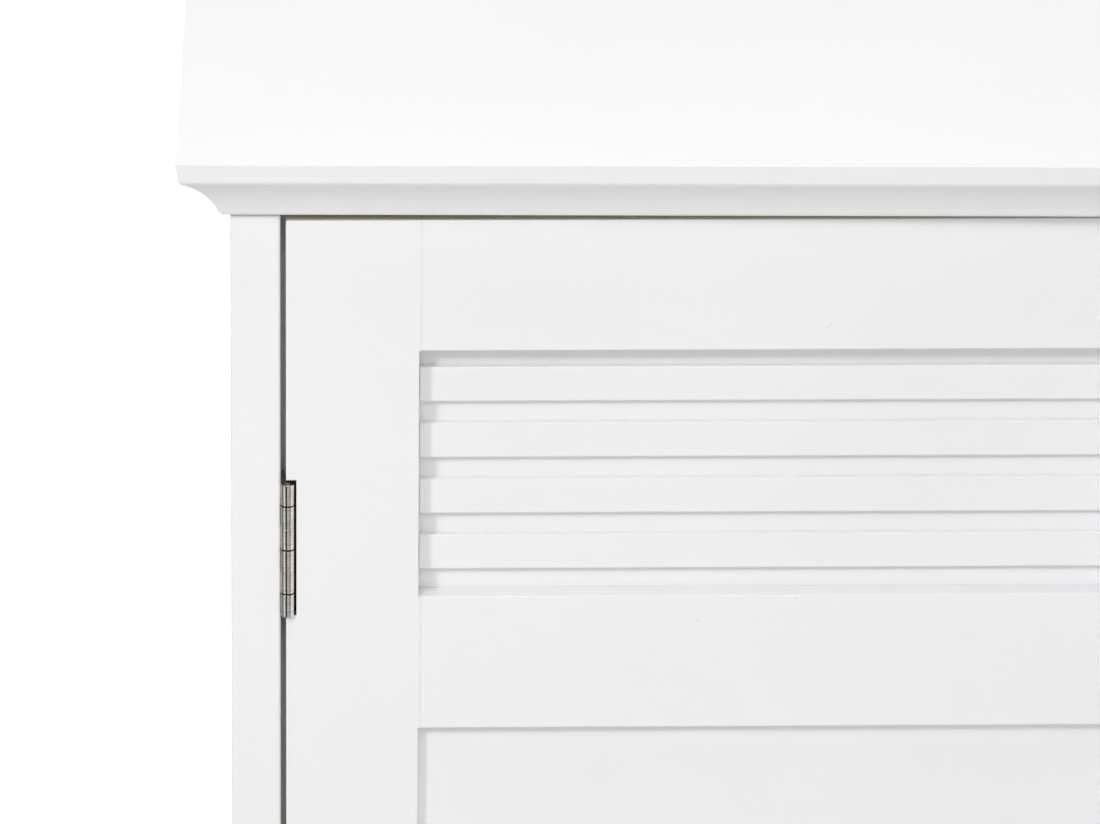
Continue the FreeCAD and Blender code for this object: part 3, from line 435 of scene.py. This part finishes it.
frameJoints = (-0.13062, 0.13054)      # where the door's rails meet its stiles
plainPaint = paintMaterial("satinPaint", satinPaint)
sidePaintShadowLine = paintMaterial("satinPaintSideShadowLine", satinPaint, shadowLine=shadowUnderMoulding)
doorPaint = paintMaterial("satinPaintDoor", doorCoat, frameJoints, paintMarks, doorRims)
louvrePaint = paintMaterial("satinPaintLouvre", doorCoat, marks=paintMarks)
hingeStilePaint = paintMaterial("satinPaintHingeStile", satinPaint, frameJoints, paintMarks,
                                doorRims, hingeNotch)
finishes = {
    "white_paint": plainPaint,
    "white_hardboard": hardboardMaterial("whiteHardboard"),
    "nickel_plate": metalMaterial("nickelPlate", nickelPlate),
    "brushed_nickel": metalMaterial("brushedNickel", brushedNickel),
    "zinc_plate": metalMaterial("zincPlate", zincPlate),
    "white_plastic": plasticMaterial("whitePlastic", whitePlastic),
    "ferrite": plasticMaterial("ferrite", ferrite),
    "birch": birchMaterial("birchDowel"),
}
# pieces with a coat of their own
ownPaint = {
    "side_panel_left": sidePaintShadowLine,
    "side_panel_right": sidePaintShadowLine,
    "door_stile_hinge_side": hingeStilePaint,
    "door_stile_free_side": doorPaint,
    "door_top_rail": doorPaint,
    "door_mid_rail": doorPaint,
    "door_bottom_rail": doorPaint,
    "louvre_backing": louvrePaint,
    "louvre_slat_1": louvrePaint,
    "louvre_slat_2": louvrePaint,
    "louvre_slat_3": louvrePaint,
    "louvre_slat_4": louvrePaint,
    "door_panel": louvrePaint,
}
slotOf = {part["node"]: part["material_slot"] for part in frame["record"]["subparts"]}
for name, piece in nodes.items():
    piece.data.materials.clear()
    piece.data.materials.append(ownPaint.get(name, finishes[slotOf[name]]))
print("finishes given to", len(nodes), "pieces")


# hinges with the sharp rims of their knuckles, leaves and pins taken off
hingeLook = {
    "rim": 0.00016,            # rounding of the rims, in metres
    "steps": 3,
    "pinDome": 0.00035,        # rounding of the pin's ends
    "weld": 0.000002,          # corners closer than this are one
    "flatWithin": 0.6,         # degrees: faces this level with each other are joined
    "rimAngle": 42,            # degrees: sharper edges are rounded
    "smoothAngle": 32,         # degrees: softer edges are shaded smooth
    "frameParts": ("hinge_upper_frame_leaf", "hinge_lower_frame_leaf"),
    "doorParts": ("hinge_upper_door_leaf", "hinge_lower_door_leaf"),
    "pins": ("hinge_upper_pin", "hinge_lower_pin"),
}


def softenedCopy(nodeName, pieceName, rounding):
    bpy.ops.object.select_all(action="DESELECT")
    piece = bpy.data.objects.new(pieceName, nodes[nodeName].data.copy())
    bpy.context.collection.objects.link(piece)
    piece.select_set(True)
    bpy.context.view_layer.objects.active = piece
    bpy.ops.object.mode_set(mode="EDIT")
    bpy.ops.mesh.select_all(action="SELECT")
    bpy.ops.mesh.remove_doubles(threshold=hingeLook["weld"])
    bpy.ops.mesh.dissolve_limited(angle_limit=math.radians(hingeLook["flatWithin"]))
    bpy.ops.object.mode_set(mode="OBJECT")
    rims = piece.modifiers.new("rims", "BEVEL")
    rims.width = rounding
    rims.segments = hingeLook["steps"]
    rims.limit_method = "ANGLE"
    rims.angle_limit = math.radians(hingeLook["rimAngle"])
    bpy.ops.object.modifier_apply(modifier="rims")
    bpy.ops.object.shade_smooth_by_angle(angle=math.radians(hingeLook["smoothAngle"]))
    piece.select_set(False)
    return piece


def placeSoftened(nodeNames, body, rounding):
    for nodeName in nodeNames:
        words = nodeName.split("_")
        pieceName = words[0] + "".join(word.capitalize() for word in words[1:])
        piece = softenedCopy(nodeName, pieceName, rounding)
        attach(piece, body)
        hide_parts(nodeName)


placeSoftened(hingeLook["frameParts"], "carcass", hingeLook["rim"])
placeSoftened(hingeLook["doorParts"], "door", hingeLook["rim"])
placeSoftened(hingeLook["pins"], "carcass", hingeLook["pinDome"])
print("hinges softened")


floor = {
    "size": 14.0,
    "colour": (0.80, 0.80, 0.80, 1),
    "duller": (0.79, 0.79, 0.79, 1),
    "patchSize": 3.0,      # duller patches per metre
    "roughness": 0.9,
    "lift": 0.66,          # extra white that only the camera sees, so the floor fades into the backdrop
    "under": 0.0005,       # this far below the cabinet's feet
}
bpy.ops.mesh.primitive_plane_add(size=floor["size"], location=(0, 0, -floor["under"]))
floorPlane = bpy.context.object
floorPlane.name = "studioFloor"
floorMaterial, tree, shader = newMaterial("studioFloor")
floorNoise = noise(tree, objectCoords(tree), floor["patchSize"], 2.0)
tree.links.new(mixColours(tree, floorNoise, floor["colour"], floor["duller"]), shader.inputs["Base Color"])
shader.inputs["Roughness"].default_value = floor["roughness"]
rays = addNode(tree, "ShaderNodeLightPath")
shader.inputs["Emission Color"].default_value = (1, 1, 1, 1)
lift = mathNode(tree, "MULTIPLY", rays.outputs["Is Camera Ray"], floor["lift"])
tree.links.new(lift, shader.inputs["Emission Strength"])
floorPlane.data.materials.append(floorMaterial)
floorPlane.visible_glossy = False      # polished metal mirrors the room, not the floor


ambientLight = {
    "strength": 0.39,
    "grey": (0.8, 0.8, 0.8, 1),
}
# place, aim, size in metres, power in watts
lamps = {
    "highFrontLamp": ((0.0, -2.2, 2.4), (0, 0, 0.6), 1.2, 17.8),
    "leftLamp": ((-1.26, -1.82, 1.87), (0, 0, 0.5), 0.36, 17.9),
    "topLamp": ((-0.1, -0.1, 2.7), (0, 0.1, 0), 1.5, 19.3),
    "lowFrontLamp": ((0.0, -3.0, 0.35), (0, 0, 0.7), 1.4, 12.9),
    "rearLamp": ((1.8, 2.8, 1.9), (0, 0, 0.45), 1.6, 20.0),
}
# how bright the room looks in polished metal, by direction: turns from the left round the front to the right
roomBands = [
    (0.00, 0.95), (0.06, 0.90), (0.11, 0.20), (0.20, 0.06), (0.245, 0.14), (0.28, 0.50), (0.31, 0.64),
    (0.335, 0.95), (0.365, 0.96), (0.385, 0.20), (0.44, 0.02), (0.475, 0.0), (0.488, 0.62), (0.53, 0.58),
    (0.57, 0.42), (0.61, 0.34), (0.66, 0.32), (0.69, 0.97), (0.80, 1.00), (0.86, 0.45), (1.00, 0.95),
]


def addLamp(name, place, aim, size, power):
    direction = Vector(aim) - Vector(place)
    turned = direction.to_track_quat("-Z", "Y").to_euler()
    bpy.ops.object.light_add(type="AREA", location=place, rotation=turned)
    lamp = bpy.context.object
    lamp.name = name
    lamp.data.shape = "SQUARE"
    lamp.data.size = size
    lamp.data.energy = power
    lamp.visible_glossy = name != "lowFrontLamp"      # it would stand as a bright stripe in the knuckles


for name, settings in lamps.items():
    addLamp(name, *settings)

# the camera sees white, polished metal the banded room, and everything else an even grey
world = bpy.data.worlds.new("studioRoom")
bpy.context.scene.world = world
world.use_nodes = True
tree = world.node_tree
tree.nodes.clear()
rays = addNode(tree, "ShaderNodeLightPath")
direction = addNode(tree, "ShaderNodeTexCoord")
axes = addNode(tree, "ShaderNodeSeparateXYZ")
tree.links.new(direction.outputs["Generated"], axes.inputs["Vector"])
turn = mathNode(tree, "ARCTAN2", axes.outputs["X"], mathNode(tree, "MULTIPLY", axes.outputs["Y"], -1.0))
share = mapRange(tree, turn, -math.pi, math.pi, 0.0, 1.0)
ramp = addNode(tree, "ShaderNodeValToRGB")
while len(ramp.color_ramp.elements) < len(roomBands):
    ramp.color_ramp.elements.new(0.5)
for element, (position, level) in zip(ramp.color_ramp.elements, roomBands):
    element.position = position
    element.color = (level, level, level, 1)
tree.links.new(share, ramp.inputs["Fac"])
even = addNode(tree, "ShaderNodeBackground")
even.inputs["Color"].default_value = ambientLight["grey"]
even.inputs["Strength"].default_value = ambientLight["strength"]
banded = addNode(tree, "ShaderNodeBackground")
tree.links.new(ramp.outputs["Color"], banded.inputs["Color"])
white = addNode(tree, "ShaderNodeBackground")
white.inputs["Color"].default_value = (1, 1, 1, 1)
glossOrEven = addNode(tree, "ShaderNodeMixShader")
tree.links.new(rays.outputs["Is Glossy Ray"], glossOrEven.inputs[0])
tree.links.new(even.outputs[0], glossOrEven.inputs[1])
tree.links.new(banded.outputs[0], glossOrEven.inputs[2])
backdrop = addNode(tree, "ShaderNodeMixShader")
tree.links.new(rays.outputs["Is Camera Ray"], backdrop.inputs[0])
tree.links.new(glossOrEven.outputs[0], backdrop.inputs[1])
tree.links.new(white.outputs[0], backdrop.inputs[2])
tree.links.new(backdrop.outputs[0], addNode(tree, "ShaderNodeOutputWorld").inputs["Surface"])
print("lamps and room ready")


view = {
    "place": (-0.15180, -3.40781, 1.80713),
    "turn": 1.189,         # degrees to the right
    "tilt": 18.388,        # degrees down
    "roll": 0.485,
    "lens": 309.84,
    "sensor": 36.0,
    "near": 0.05,
    "far": 60,
}
turn, tilt, roll = (math.radians(view[key]) for key in ("turn", "tilt", "roll"))
ahead = Vector((math.sin(turn) * math.cos(tilt), math.cos(turn) * math.cos(tilt), -math.sin(tilt)))
levelRight = Vector((math.cos(turn), -math.sin(turn), 0))
levelUp = levelRight.cross(ahead)
camRight = levelRight * math.cos(roll) + levelUp * math.sin(roll)
camUp = levelUp * math.cos(roll) - levelRight * math.sin(roll)
bpy.ops.object.camera_add(location=view["place"])
camera = bpy.context.object
camera.name = "frontCamera"
camera.data.lens = view["lens"]
camera.data.sensor_width = view["sensor"]
camera.data.sensor_fit = "HORIZONTAL"
camera.data.clip_start = view["near"]
camera.data.clip_end = view["far"]
placed = Matrix((camRight, camUp, -ahead)).transposed().to_4x4()
placed.translation = Vector(view["place"])
camera.matrix_world = placed
bpy.context.scene.camera = camera
bpy.context.scene.view_settings.view_transform = "Standard"
print("camera placed")
